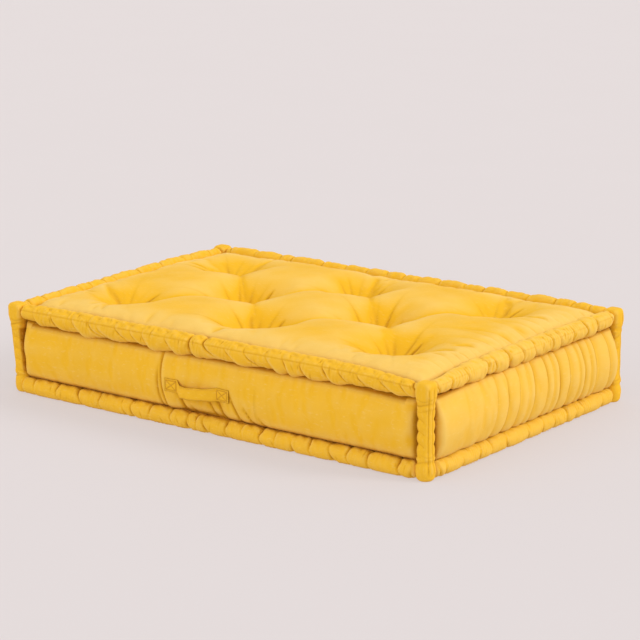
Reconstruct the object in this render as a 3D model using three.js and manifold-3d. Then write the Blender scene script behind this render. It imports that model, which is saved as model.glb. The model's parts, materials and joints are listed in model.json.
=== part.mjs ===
import * as THREE from "three";
import { mergeVertices } from "three/addons/utils/BufferGeometryUtils.js";
import Module from "manifold-3d";

// A low rectangular floor pouf made like a wool mattress: one filled cloth block, tufted through at
// eight points, with a stitched roll along each of its twelve edges and a flat cloth handle on the front.
// Millimetres, +Z up. X runs along the long side, -Y is the front with the handle, Z = 0 is the floor,
// and the origin is under the middle of the pouf.

// Driving dimensions
const LENGTH = 1200;
const WIDTH = 800;
const ROLL_R = 21;
const ROLL_SINK = 3; // how far the bottom rolls are pressed flat on the floor
const ROLL_RISE = 178; // from the bottom rolls' centre lines to the top rolls'
const CORNER_LIFT = { left_front: -2, right_front: 5, right_back: 6, left_back: 0 };
const GAP = 0.3; // between neighbouring pieces

// Edge rolls
const ROLL_X = LENGTH / 2 - ROLL_R; // centre lines of the rolls
const ROLL_Y = WIDTH / 2 - ROLL_R;
const ROLL_LOW = ROLL_R - ROLL_SINK;
const ROLL_SIDES = 10;
const LUMP = 52; // mean length of a lump between two pinches of the roll
const LUMP_UNEVEN = 0.28;
const LUMP_BEAT = 2.4; // how quickly the unevenness turns from lump to lump, in radians
const LUMP_PEAK = 0.38; // where along a lump it is fullest
const PINCH = 3.4; // how far a pinch draws the roll in
const PINCH_SLANT = 0.55; // slant of a pinch, as a share of the roll's radius
const UPRIGHT_R = 19;
const UPRIGHT_SIDES = 8; // a multiple of four, so that they reach the pouf's full length and width

// Round ends of the upright rolls, which make the pouf's corners: distance from the end and radius, as
// shares of ROLL_R
const KNOB_FOOT = [
  { rise: 0, r: 0.7 },
  { rise: 0.3, r: 1 },
  { rise: 1.5, r: 1 },
];
const KNOB_HEAD = [
  { drop: 1.5, r: 1 },
  { drop: 0.35, r: 1 },
  { drop: 0, r: 0.6 },
];

// Filled block: its edges run inside the rolls
const EDGE_INSET = 4;
const BLOCK_X = ROLL_X - EDGE_INSET;
const BLOCK_Y = ROLL_Y - EDGE_INSET;
const BLOCK_LOW = ROLL_LOW - EDGE_INSET;
const COLUMNS_X = 48;
const COLUMNS_Y = 46;
const ROWS_Z = 5;
const CROWN_RISE = 30; // the filled top over its own sewn edge
const CROWN_REACH = 95; // width of the rounded border inside the rolls
const CROWN_FULLNESS = 2.4; // the higher, the steeper the top rises beside the rolls
const CROWN_MIDDLE = 5;
const SIDE_BULGE = 16;
const SIDE_FULLNESS = 0.6; // the lower, the fuller a side is beside the rolls
const SIDE_ROUND = 60; // width of the rounding of a side towards the upright rolls
const BASE_STEPS = [
  { inset: 24, height: 3 },
  { inset: 48, height: 0 },
];

// Tufts: three rows of three, two and three
const TUFT_PITCH_X = BLOCK_X / 3;
const TUFT_PITCH_Y = 196;
const TUFTS = [
  { column: -2, row: -1 },
  { column: 0, row: -1 },
  { column: 2, row: -1 },
  { column: -1, row: 0 },
  { column: 1, row: 0 },
  { column: -2, row: 1 },
  { column: 0, row: 1 },
  { column: 2, row: 1 },
];
const TUFT_PIT = 26; // narrow part of a tuft's hollow
const TUFT_PIT_R = 30;
const TUFT_PIT_FALL = 1.2; // how sharply the narrow part opens
const TUFT_BOWL = 22; // wide part of a tuft's hollow
const TUFT_BOWL_R = 88;
const BASE_TUFT_DEPTH = 9;
const BASE_TUFT_R = 34;
const BASE_TUFT_SIDES = 8;

// Pleats gathered into the rolls
const END_PLEAT_PITCH = (3 * 2 * BLOCK_Y) / COLUMNS_Y; // three lines of the grid
const END_PLEAT = 4;
const LONG_PLEAT_PITCH = (2 * 2 * BLOCK_X) / COLUMNS_X;
const LONG_PLEAT = 1.2;
const TOP_GATHER = 3;
const TOP_GATHER_REACH = 130;

// Handle: a folded cloth strap, sewn down at both ends
const HANDLE_X = -27;
const HANDLE_Z = 98;
const HANDLE_LENGTH = 180;
const HANDLE_WIDTH = 30;
const HANDLE_THICK = 3;
const HANDLE_PATCH = 34; // length of each sewn end
const HANDLE_ARCH = 14; // how far the middle stands off the cloth
const HANDLE_ARCH_FALL = 1.2; // how sharply it comes down to the sewn ends
const HANDLE_SAG = 5;
const HANDLE_SEAT = 0.5; // between the strap's ends and the pleats of the front
const HANDLE_STEPS = 18;
const HANDLE_ROWS = 3;

const CLOTH = { color: 0xefb63a, roughness: 0.9, metalness: 0 };

const wasm = await Module();
wasm.setup();

// A closed geometry as a solid that can be cut.
function solidOf(geometry) {
  const bare = geometry.clone();
  bare.deleteAttribute("normal");
  bare.deleteAttribute("uv");
  const merged = mergeVertices(bare, 1e-3);
  return new wasm.Manifold(
    new wasm.Mesh({
      numProp: 3,
      vertProperties: merged.attributes.position.array,
      triVerts: new Uint32Array(merged.index.array),
    }),
  );
}

function geometryOf(solid) {
  const mesh = solid.getMesh();
  const geometry = new THREE.BufferGeometry();
  geometry.setAttribute("position", new THREE.BufferAttribute(mesh.vertProperties, 3));
  geometry.setIndex(new THREE.BufferAttribute(mesh.triVerts, 1));
  geometry.computeVertexNormals();
  return geometry;
}

// A closed skin over a row of rings with the same number of points, with a flat cap on each end.
function loft(rings) {
  const points = rings.flat();
  const around = rings[0].length;
  const triangles = [];
  for (let i = 0; i + 1 < rings.length; i++) {
    for (let j = 0; j < around; j++) {
      const a = i * around + j;
      const b = i * around + ((j + 1) % around);
      triangles.push(a, b, b + around, a, b + around, a + around);
    }
  }
  const last = (rings.length - 1) * around;
  for (let j = 1; j + 1 < around; j++) {
    triangles.push(0, j + 1, j);
    triangles.push(last, last + j, last + j + 1);
  }
  return new THREE.BufferGeometry().setFromPoints(points).setIndex(triangles);
}

const smooth = (t) => {
  const s = THREE.MathUtils.clamp(t, 0, 1);
  return s * s * (3 - 2 * s);
};

// Height of the top rolls' centre lines over a point of the plan, from the four corners.
function rollHeight(x, y) {
  const u = (x / ROLL_X + 1) / 2;
  const v = (y / ROLL_Y + 1) / 2;
  const front = THREE.MathUtils.lerp(CORNER_LIFT.left_front, CORNER_LIFT.right_front, u);
  const back = THREE.MathUtils.lerp(CORNER_LIFT.left_back, CORNER_LIFT.right_back, u);
  return ROLL_LOW + ROLL_RISE + THREE.MathUtils.lerp(front, back, v);
}

// The quick rise of the top from its sewn border, 0 at the border and 1 past the rounding.
const border = (inside) => 1 - (1 - THREE.MathUtils.clamp(inside / CROWN_REACH, 0, 1)) ** CROWN_FULLNESS;

function tuftHollow(x, y) {
  let depth = 0;
  for (const { column, row } of TUFTS) {
    const r = Math.hypot(x - column * TUFT_PITCH_X, y - row * TUFT_PITCH_Y);
    depth += TUFT_PIT * Math.exp(-((r / TUFT_PIT_R) ** TUFT_PIT_FALL));
    depth += TUFT_BOWL * Math.exp(-((r / TUFT_BOWL_R) ** 2));
  }
  return depth;
}

const pleat = (along, pitch) => Math.cos((2 * Math.PI * along) / pitch);

// Height of the filled top over a point of the plan.
function topHeight(x, y) {
  const insideX = BLOCK_X - Math.abs(x);
  const insideY = BLOCK_Y - Math.abs(y);
  const rise = border(insideX) * border(insideY);
  const dome = (1 - (x / BLOCK_X) ** 2) * (1 - (y / BLOCK_Y) ** 2);
  const beside = Math.sign(insideX) * smooth(1 - insideX / TOP_GATHER_REACH) * smooth(insideY / SIDE_ROUND);
  return (
    rollHeight(x, y) -
    EDGE_INSET +
    rise * CROWN_RISE +
    dome * CROWN_MIDDLE -
    rise * tuftHollow(x, y) +
    beside * TOP_GATHER * pleat(y, END_PLEAT_PITCH)
  );
}

// How far a side stands out from the block's edges: 0 along its four edges and full in the middle.
function sideBulge(along, half, t, pleatHeight, pitch) {
  const ends = smooth((half - Math.abs(along)) / SIDE_ROUND);
  const upright = Math.max(0, Math.sin(Math.PI * t)) ** SIDE_FULLNESS;
  return ends * upright * (SIDE_BULGE + pleatHeight * pleat(along, pitch));
}

const frontBulge = (x, t) => sideBulge(x, BLOCK_X, t, LONG_PLEAT, LONG_PLEAT_PITCH);
const endBulge = (y, t) => sideBulge(y, BLOCK_Y, t, END_PLEAT, END_PLEAT_PITCH);

// A point of the side wall: (x, y) on the block's outline, t = 0 at its lower edge and 1 at its upper one.
function sidePoint(x, y, t) {
  const z = THREE.MathUtils.lerp(BLOCK_LOW, topHeight(x, y), t);
  const outX = Math.abs(x) === BLOCK_X ? Math.sign(x) * endBulge(y, t) : 0;
  const outY = Math.abs(y) === BLOCK_Y ? Math.sign(y) * frontBulge(x, t) : 0;
  return new THREE.Vector3(x + outX, y + outY, z);
}

const column = (i) => -BLOCK_X + (2 * BLOCK_X * i) / COLUMNS_X;
const line = (j) => -BLOCK_Y + (2 * BLOCK_Y * j) / COLUMNS_Y;

// The block's outline in plan, counter-clockwise from the left front corner.
function outline() {
  const corners = [];
  for (let i = 0; i < COLUMNS_X; i++) corners.push([column(i), -BLOCK_Y]);
  for (let j = 0; j < COLUMNS_Y; j++) corners.push([BLOCK_X, line(j)]);
  for (let i = COLUMNS_X; i > 0; i--) corners.push([column(i), BLOCK_Y]);
  for (let j = COLUMNS_Y; j > 0; j--) corners.push([-BLOCK_X, line(j)]);
  return corners;
}

// The filled block before the rolls are let into its edges.
function blockGeometry() {
  const plan = outline();
  const points = [];
  const triangles = [];

  // Top: a grid of columns and lines.
  const topIndex = (i, j) => i * (COLUMNS_Y + 1) + j;
  for (let i = 0; i <= COLUMNS_X; i++) {
    for (let j = 0; j <= COLUMNS_Y; j++) {
      points.push(new THREE.Vector3(column(i), line(j), topHeight(column(i), line(j))));
    }
  }
  for (let i = 0; i < COLUMNS_X; i++) {
    for (let j = 0; j < COLUMNS_Y; j++) {
      const a = topIndex(i, j);
      const b = topIndex(i + 1, j);
      triangles.push(a, b, b + 1, a, b + 1, a + 1);
    }
  }

  // Sides and the rounded border of the base: rings from the top edge down to the flat of the base.
  const rings = [];
  for (let k = ROWS_Z; k >= 0; k--) {
    rings.push(plan.map(([x, y]) => sidePoint(x, y, k / ROWS_Z)));
  }
  for (const { inset, height } of BASE_STEPS) {
    const shrinkX = (BLOCK_X - inset) / BLOCK_X;
    const shrinkY = (BLOCK_Y - inset) / BLOCK_Y;
    rings.push(plan.map(([x, y]) => new THREE.Vector3(x * shrinkX, y * shrinkY, height)));
  }
  const first = points.length;
  points.push(...rings.flat());
  const around = plan.length;
  for (let k = 0; k + 1 < rings.length; k++) {
    for (let p = 0; p < around; p++) {
      const a = first + k * around + p;
      const b = first + k * around + ((p + 1) % around);
      triangles.push(a, a + around, b + around, a, b + around, b);
    }
  }

  // Base: the flat that lies on the floor, with a shallow hollow under each tuft.
  const rim = rings[rings.length - 1].map((p) => new THREE.Vector2(p.x, p.y));
  const hollows = TUFTS.map(({ column: c, row: r }) => {
    const centre = new THREE.Vector2(c * TUFT_PITCH_X, r * TUFT_PITCH_Y);
    return Array.from({ length: BASE_TUFT_SIDES }, (_, s) => {
      const turn = (2 * Math.PI * s) / BASE_TUFT_SIDES;
      return new THREE.Vector2(Math.cos(turn), Math.sin(turn)).multiplyScalar(BASE_TUFT_R).add(centre);
    });
  });
  const flat = [...rim, ...hollows.flat()];
  const flatFirst = points.length;
  points.push(...flat.map((p) => new THREE.Vector3(p.x, p.y, 0)));
  for (const [a, b, c] of THREE.ShapeUtils.triangulateShape(rim, hollows)) {
    const turn = flat[b].clone().sub(flat[a]).cross(flat[c].clone().sub(flat[a]));
    const face = turn > 0 ? [a, c, b] : [a, b, c];
    triangles.push(...face.map((v) => flatFirst + v));
  }
  TUFTS.forEach(({ column: c, row: r }, n) => {
    const apex = points.length;
    points.push(new THREE.Vector3(c * TUFT_PITCH_X, r * TUFT_PITCH_Y, BASE_TUFT_DEPTH));
    const start = flatFirst + rim.length + n * BASE_TUFT_SIDES;
    for (let s = 0; s < BASE_TUFT_SIDES; s++) {
      triangles.push(start + s, apex, start + ((s + 1) % BASE_TUFT_SIDES));
    }
  });
  return new THREE.BufferGeometry().setFromPoints(points).setIndex(triangles);
}

// Uneven lengths of the lumps along a roll, which fill it exactly.
function lumpEnds(length, seed) {
  const count = Math.round(length / LUMP);
  const shares = Array.from({ length: count }, (_, i) => 1 + LUMP_UNEVEN * Math.sin(LUMP_BEAT * i + seed));
  const total = shares.reduce((sum, s) => sum + s, 0);
  const ends = [0];
  for (const share of shares) ends.push(ends[ends.length - 1] + (share / total) * length);
  return ends;
}

// A ring of points round the straight line from start along direction, sheared along it by slant.
function rollRing(start, direction, at, radius, slant, floor) {
  const side = new THREE.Vector3(-direction.y, direction.x, 0).normalize();
  const up = new THREE.Vector3().crossVectors(direction, side);
  return Array.from({ length: ROLL_SIDES }, (_, s) => {
    const turn = (2 * Math.PI * s) / ROLL_SIDES;
    const point = start.clone().addScaledVector(direction, at + slant * Math.sin(turn));
    point.addScaledVector(side, radius * Math.cos(turn)).addScaledVector(up, radius * Math.sin(turn));
    point.z = Math.max(point.z, floor);
    return point;
  });
}

// A lying roll from one corner to the next, pinched into lumps.
function lyingRoll(from, to, seed) {
  const direction = to.clone().sub(from);
  const length = direction.length();
  direction.normalize();
  const ends = lumpEnds(length, seed);
  const slant = PINCH_SLANT * ROLL_R;
  const rings = [];
  ends.forEach((end, i) => {
    const outer = i === 0 || i === ends.length - 1;
    rings.push(rollRing(from, direction, end, ROLL_R - PINCH, outer ? 0 : slant, 0));
    if (i + 1 < ends.length) {
      const peak = THREE.MathUtils.lerp(end, ends[i + 1], LUMP_PEAK);
      rings.push(rollRing(from, direction, peak, ROLL_R, slant, 0));
    }
  });
  return loft(rings);
}

// The roll with both ends cut on the diagonals of the plan, where it meets the next rolls.
function mitred(roll, from, to) {
  const along = new THREE.Vector3(to.x - from.x, to.y - from.y, 0).normalize();
  const inward = new THREE.Vector3(-along.y, along.x, 0);
  const cut = (solid, point, away) => {
    const normal = away.clone().sub(inward).normalize();
    return solid.trimByPlane(normal.toArray(), normal.dot(point) + GAP / 2);
  };
  return cut(cut(roll, from, along), to, along.clone().negate());
}

// A straight prism round a lying roll with the gap added, which cuts the roll's seat into the block.
function lyingSeat(from, to) {
  const direction = to.clone().sub(from);
  const length = direction.length();
  direction.normalize();
  const radius = ROLL_R + GAP / Math.cos(Math.PI / ROLL_SIDES);
  const reach = 2 * ROLL_R;
  const ends = [-reach, length + reach];
  return loft(ends.map((at) => rollRing(from, direction, at, radius, 0, -reach)));
}

// Heights and radii of an upright roll, from its flat foot to its round top.
function uprightStations(top) {
  const height = top + ROLL_R;
  const low = 2 * ROLL_R;
  const high = height - 2 * ROLL_R;
  const lumps = Math.round((high - low) / LUMP);
  const step = (high - low) / lumps;
  const stations = KNOB_FOOT.map(({ rise, r }) => ({ z: rise * ROLL_R, r: r * ROLL_R }));
  stations.push({ z: low, r: UPRIGHT_R - PINCH });
  for (let i = 0; i < lumps; i++) {
    stations.push({ z: low + (i + LUMP_PEAK) * step, r: UPRIGHT_R });
    stations.push({ z: low + (i + 1) * step, r: UPRIGHT_R - PINCH });
  }
  stations.push(...KNOB_HEAD.map(({ drop, r }) => ({ z: height - drop * ROLL_R, r: r * ROLL_R })));
  return stations;
}

function uprightLoft(x, y, stations) {
  const rings = stations.map(({ z, r }) =>
    Array.from({ length: UPRIGHT_SIDES }, (_, s) => {
      const turn = (2 * Math.PI * s) / UPRIGHT_SIDES;
      return new THREE.Vector3(x + r * Math.cos(turn), y + r * Math.sin(turn), z);
    }),
  );
  return loft(rings);
}

function uprightSeat(x, y, top) {
  const radius = ROLL_R + GAP / Math.cos(Math.PI / UPRIGHT_SIDES);
  const reach = 2 * ROLL_R;
  return uprightLoft(x, y, [
    { z: -reach, r: radius },
    { z: top + reach, r: radius },
  ]);
}

// The strap: its inner face follows the cloth of the front at both ends and arches off it between them.
function handleGeometry() {
  const free = HANDLE_LENGTH / 2 - HANDLE_PATCH;
  const rings = [];
  for (let i = 0; i <= HANDLE_STEPS; i++) {
    const offset = HANDLE_LENGTH * (i / HANDLE_STEPS - 0.5);
    const x = HANDLE_X + offset;
    const turn = (Math.PI / 2) * THREE.MathUtils.clamp(offset / free, -1, 1);
    const lift = Math.max(0, Math.cos(turn)) ** HANDLE_ARCH_FALL;
    const ring = [];
    for (const outer of [false, true]) {
      for (let k = 0; k <= HANDLE_ROWS; k++) {
        const share = k / HANDLE_ROWS - 0.5;
        const z = HANDLE_Z - lift * HANDLE_SAG + HANDLE_WIDTH * (outer ? -share : share);
        const t = (z - BLOCK_LOW) / (topHeight(x, -BLOCK_Y) - BLOCK_LOW);
        const inner = BLOCK_Y + frontBulge(x, t) + HANDLE_SEAT + lift * HANDLE_ARCH;
        ring.push(new THREE.Vector3(x, outer ? -inner - HANDLE_THICK : -inner, z));
      }
    }
    rings.push(ring);
  }
  return loft(rings);
}

function mesh(name, geometry) {
  const made = new THREE.Mesh(geometry, new THREE.MeshStandardMaterial(CLOTH));
  made.name = name;
  return made;
}

// Corners in plan, counter-clockwise from the left front, with the side that runs from each to the next.
const CORNERS = [
  { name: "left_front", x: -ROLL_X, y: -ROLL_Y, side: "front", seed: 0.4 },
  { name: "right_front", x: ROLL_X, y: -ROLL_Y, side: "right", seed: 1.9 },
  { name: "right_back", x: ROLL_X, y: ROLL_Y, side: "back", seed: 3.1 },
  { name: "left_back", x: -ROLL_X, y: ROLL_Y, side: "left", seed: 4.6 },
];

const pouf = new THREE.Group();
const uprightSeats = CORNERS.map(({ x, y }) => solidOf(uprightSeat(x, y, rollHeight(x, y))));
let block = solidOf(blockGeometry());

for (const [i, corner] of CORNERS.entries()) {
  const next = CORNERS[(i + 1) % CORNERS.length];
  const heights = {
    bottom: [ROLL_LOW, ROLL_LOW],
    top: [rollHeight(corner.x, corner.y), rollHeight(next.x, next.y)],
  };
  for (const [level, [fromZ, toZ]] of Object.entries(heights)) {
    const from = new THREE.Vector3(corner.x, corner.y, fromZ);
    const to = new THREE.Vector3(next.x, next.y, toZ);
    block = block.subtract(solidOf(lyingSeat(from, to)));
    const seed = corner.seed + (level === "top" ? 0 : 2.2);
    const roll = mitred(solidOf(lyingRoll(from, to, seed)), from, to)
      .subtract(uprightSeats[i])
      .subtract(uprightSeats[(i + 1) % CORNERS.length]);
    pouf.add(mesh(`${level}_roll_${corner.side}`, geometryOf(roll)));
  }
}
for (const seat of uprightSeats) block = block.subtract(seat);
pouf.add(mesh("filled_block", geometryOf(block)));
for (const { name, x, y } of CORNERS) {
  pouf.add(mesh(`corner_roll_${name}`, uprightLoft(x, y, uprightStations(rollHeight(x, y)))));
}
pouf.add(mesh("handle_strap", handleGeometry()));

export default pouf;
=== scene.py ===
import json
import math

import bpy
import numpy as np
from mathutils import Matrix, Vector

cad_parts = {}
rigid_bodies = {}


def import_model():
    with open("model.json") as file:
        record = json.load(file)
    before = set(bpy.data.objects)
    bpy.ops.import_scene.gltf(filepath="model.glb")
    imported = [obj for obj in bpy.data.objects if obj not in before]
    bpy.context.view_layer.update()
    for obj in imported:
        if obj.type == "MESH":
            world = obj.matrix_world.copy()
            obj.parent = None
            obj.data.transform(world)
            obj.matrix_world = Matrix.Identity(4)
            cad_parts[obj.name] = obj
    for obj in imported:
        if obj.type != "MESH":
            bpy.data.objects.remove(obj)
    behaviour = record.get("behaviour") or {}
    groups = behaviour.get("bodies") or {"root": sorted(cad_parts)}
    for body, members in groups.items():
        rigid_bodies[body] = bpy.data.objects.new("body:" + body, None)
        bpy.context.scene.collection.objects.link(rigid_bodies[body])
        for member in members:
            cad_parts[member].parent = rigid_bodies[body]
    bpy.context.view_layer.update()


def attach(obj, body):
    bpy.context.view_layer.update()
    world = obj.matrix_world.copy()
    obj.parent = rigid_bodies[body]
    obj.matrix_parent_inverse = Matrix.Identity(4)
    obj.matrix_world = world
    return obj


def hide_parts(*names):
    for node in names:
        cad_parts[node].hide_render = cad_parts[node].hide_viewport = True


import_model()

# A low floor pouf made like a wool mattress: a filled cloth block with tufts, stitched rolls along
# its edges and a folded handle on the front. Sizes are in millimetres and are turned into metres
# when a mesh gets its points. X runs along the pouf, -Y is the front with the handle, and the
# floor is at Z = 0.

MM = 0.001

# ---- Sizes shared with the solids ----
ROLL_R = 21
ROLL_X = 579  # centre lines of the rolls
ROLL_Y = 379
ROLL_LOW = 18
ROLL_RISE = 178
CORNER_LIFT = {"left_front": -2, "right_front": 5, "right_back": 6, "left_back": 0}
CORNER_DROP, DROP_REACH = 7, 200  # the top rolls sag towards the right front corner
EDGE_INSET = 4
BLOCK_X = ROLL_X - EDGE_INSET
BLOCK_Y = ROLL_Y - EDGE_INSET
BLOCK_LOW = ROLL_LOW - EDGE_INSET
TUFT_X = BLOCK_X / 3
TUFT_Y = 196


# ---- Small helpers ----
def smooth(t):
    """0 to 1 with soft ends, for numbers and arrays."""
    s = np.clip(t, 0.0, 1.0)
    return s * s * (3 - 2 * s)


def bell(distance, width):
    return np.exp(-((distance / width) ** 2))


def deselect():
    bpy.ops.object.select_all(action="DESELECT")


def activate(piece):
    deselect()
    piece.select_set(True)
    bpy.context.view_layer.objects.active = piece


def fold_shape(off, steep, soft):
    """1 in the line of a fold, falling steeply before it and softly beyond it."""
    return np.where(off < 0, np.exp(off / steep), np.exp(-off / soft))


def new_piece(name, primitive, **settings):
    deselect()
    primitive(**settings)
    piece = bpy.context.object
    piece.name = piece.data.name = name
    return piece


def read_all(items, field, width=1, kind=float):
    """One field of all the points, edges, faces or corners of a mesh."""
    flat = np.empty(len(items) * width, kind)
    items.foreach_get(field, flat)
    return flat.reshape(-1, width) if width > 1 else flat


def read_points(mesh):
    return read_all(mesh.vertices, "co", 3)


def write_points(mesh, points):
    mesh.vertices.foreach_set("co", np.ascontiguousarray(points, dtype=np.float64).ravel())
    mesh.update()


def keep_plan(mesh, plan):
    """Stores each point's place in the cut box, which later subdivision carries on."""
    layer = mesh.attributes.new("plan", "FLOAT_VECTOR", "POINT")
    layer.data.foreach_set("vector", np.ascontiguousarray(plan, dtype=np.float32).ravel())


def kept_plan(mesh):
    return read_all(mesh.attributes["plan"].data, "vector", 3, np.float32).astype(float)


def write_values(mesh, name, values):
    layer = mesh.attributes.new(name, "FLOAT", "POINT")
    layer.data.foreach_set("value", np.ascontiguousarray(values, dtype=np.float32))


def normals_of(mesh):
    return read_all(mesh.vertex_normals, "vector", 3)


def corner_points(mesh):
    return read_all(mesh.loops, "vertex_index", kind=int)


def face_starts(mesh):
    return read_all(mesh.polygons, "loop_start", kind=int)


def face_sizes(mesh):
    return read_all(mesh.polygons, "loop_total", kind=int)


def choose(mesh, points=None, edges=None, faces=None):
    """Selects points, edges and faces by arrays of true and false, and nothing else."""
    for items, chosen in (mesh.vertices, points), (mesh.edges, edges), (mesh.polygons, faces):
        items.foreach_set("select", np.zeros(len(items), bool) if chosen is None else chosen)


def in_edit_mode(operator, **settings):
    bpy.ops.object.mode_set(mode="EDIT")
    operator(**settings)
    bpy.ops.object.mode_set(mode="OBJECT")


def cut_along(piece, axis, cuts):
    """Cuts the edges that run along an axis into parts, once for each number in cuts."""
    mesh = piece.data
    bpy.context.tool_settings.mesh_select_mode = (False, True, False)
    for parts in cuts:
        points, ends = read_points(mesh), read_all(mesh.edges, "vertices", 2, int)
        runs = np.abs(points[ends[:, 0]] - points[ends[:, 1]])
        choose(mesh, edges=runs.argmax(axis=1) == axis)
        in_edit_mode(bpy.ops.mesh.subdivide, number_cuts=parts - 1)


def apply_modifiers(piece):
    activate(piece)
    for modifier in list(piece.modifiers):
        bpy.ops.object.modifier_apply(modifier=modifier.name)


def smooth_shaded(piece):
    activate(piece)
    bpy.ops.object.shade_smooth()


def face_outwards(piece):
    activate(piece)
    bpy.ops.object.mode_set(mode="EDIT")
    bpy.ops.mesh.select_all(action="SELECT")
    bpy.ops.mesh.normals_make_consistent(inside=False)
    bpy.ops.object.mode_set(mode="OBJECT")


def cavity_of(mesh, steps):
    """How far each point lies below its surroundings, in millimetres."""
    a, b = read_all(mesh.edges, "vertices", 2, int).T
    points = read_points(mesh)
    count = len(points)
    joined = np.maximum(np.bincount(a, minlength=count) + np.bincount(b, minlength=count), 1)
    level = points.copy()
    for _ in range(steps):
        for axis in range(3):
            place = level[:, axis]
            total = np.bincount(a, place[b], count) + np.bincount(b, place[a], count)
            level[:, axis] = 0.4 * place + 0.6 * total / joined
    return ((level - points) * normals_of(mesh)).sum(axis=1) / MM


def write_uv(mesh, places, wrap=None):
    """UV map in metres from a place for each corner. wrap joins up a turn of that length."""
    layer = mesh.uv_layers.new(name="cloth")
    if wrap:
        highest = np.maximum.reduceat(places[:, 1], face_starts(mesh))
        highest = np.repeat(highest, face_sizes(mesh))
        places[:, 1] += np.where(highest - places[:, 1] > wrap / 2, wrap, 0)
    layer.data.foreach_set("uv", np.ascontiguousarray(places, dtype=np.float32).ravel())


def finish_piece(piece, points, steps, dark, chart, wrap=None):
    """Gives a piece its points, its cavity over a number of steps, its painted shade and
    highlights and its UV map.
    """
    mesh = piece.data
    points[:, 2] = np.maximum(points[:, 2], 0)
    write_points(mesh, points * MM)
    face_outwards(piece)
    smooth_shaded(piece)
    write_values(mesh, "cavity", cavity_of(mesh, steps))
    write_values(mesh, "crease", dark)
    write_uv(mesh, np.column_stack(chart)[corner_points(mesh)] * MM, wrap)


# ---- Heights and places of the cushion ----
def roll_height(x, y):
    """Height of the top rolls' centre lines over a point of the plan."""
    u = (x / ROLL_X + 1) / 2
    v = (y / ROLL_Y + 1) / 2
    front = CORNER_LIFT["left_front"] * (1 - u) + CORNER_LIFT["right_front"] * u
    back = CORNER_LIFT["left_back"] * (1 - u) + CORNER_LIFT["right_back"] * u
    to_corner = smooth(1 - (ROLL_X - x) / DROP_REACH) * smooth(1 - (ROLL_Y + y) / DROP_REACH)
    return ROLL_LOW + ROLL_RISE + front * (1 - v) + back * v - CORNER_DROP * to_corner


# ---- Camera ----
VIEW_AZIMUTH, VIEW_ELEVATION = 36.93, 14.11  # degrees, from the front towards the right
VIEW_RIGHT, VIEW_UP, VIEW_BACK = 0.0145, 0.1789, 6.005  # the camera's place, in metres
VIEW_DROP = 0.003
VIEW_LENS, VIEW_SENSOR = 144.45, 36


def set_camera():
    azimuth, elevation = math.radians(VIEW_AZIMUTH), math.radians(VIEW_ELEVATION)
    back = np.array([math.sin(azimuth) * math.cos(elevation),
                     -math.cos(azimuth) * math.cos(elevation),
                     math.sin(elevation)])
    right = np.array([math.cos(azimuth), math.sin(azimuth), 0])
    up = np.cross(back, right)
    place = right * VIEW_RIGHT + up * VIEW_UP + back * VIEW_BACK - np.array([0, 0, VIEW_DROP])
    data = bpy.data.cameras.new("camera")
    data.sensor_width, data.lens, data.clip_end = VIEW_SENSOR, VIEW_LENS, 200
    camera = bpy.data.objects.new("camera", data)
    turn = Matrix((right, up, back)).transposed().to_4x4()
    camera.matrix_world = Matrix.Translation(place) @ turn
    bpy.context.scene.collection.objects.link(camera)
    bpy.context.scene.camera = camera


# ---- Filled block ----
COLUMNS = (10, 15)  # faces along X before the last subdivision, as two cuts
LINES = (7, 14)
ROWS = (14,)
AT_FACE = 0.9999  # places in the cut box beyond this lie on its face
CROWN_RISE = 32
CROWN_REACH = 88
CROWN_FULLNESS = 2.8
CROWN_MIDDLE = 5
CROWN_BACK_DROP, CROWN_LEFT_DROP = 7, 4  # the crown is lower there
TUFTS = [(-2, -1), (0, -1), (2, -1), (-1, 0), (1, 0), (-2, 1), (0, 1), (2, 1)]
TUFT_SHIFT = -12  # the ties lie nearer the left and the front than an even layout
TUFT_PULLS = [0.6, 1, 1, 1, 1, 0.8, 0.85, 0.6]  # how hard each tuft is pulled down
TUFT_PIT, TUFT_PIT_R, TUFT_PIT_FALL = 22, 30, 1.1
TUFT_BOWL, TUFT_BOWL_R = 37, 88
BOWL_SHIFT = (-6, 32)  # the bowls lie off the ties, so one side of each is steep
VALLEY, VALLEY_WIDTH = 24, 38  # folds between neighbouring tufts
FAN = np.radians([98, 116, 133, 152, 205, 310])  # turns of the folds round a tuft
# Two creases beyond each tuft: start and end from its tie, and strength.
TUFT_CREASES = [(4, 14, 24, 104, 1), (12, 18, 52, 74, 0.6)]
# Gathers from the front, back, right and left rolls: seed, pitch, reach and depth.
BORDER_GATHERS = [(21, 90, 40, 0.8), (22, 60, 60, 1.6), (23, 27, 110, 4.2), (24, 50, 90, 2.6)]
FRONT_BULGE, END_BULGE = 22, 33
FRONT_ROUND, END_ROUND = 34, 24
SIDE_FULLNESS = 0.85
BASE_ROUND = 48
SWELL_FRAMES = 20
SWELL_LIMIT = 7  # the furthest that the filling moves the cloth
CLOTH_FEEL = {"quality": 5, "mass": 0.25, "tension_stiffness": 12, "compression_stiffness": 12,
              "shear_stiffness": 4, "bending_stiffness": 0.4, "shrink_min": -0.02,
              "use_pressure": True, "uniform_pressure_force": 4}

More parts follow.
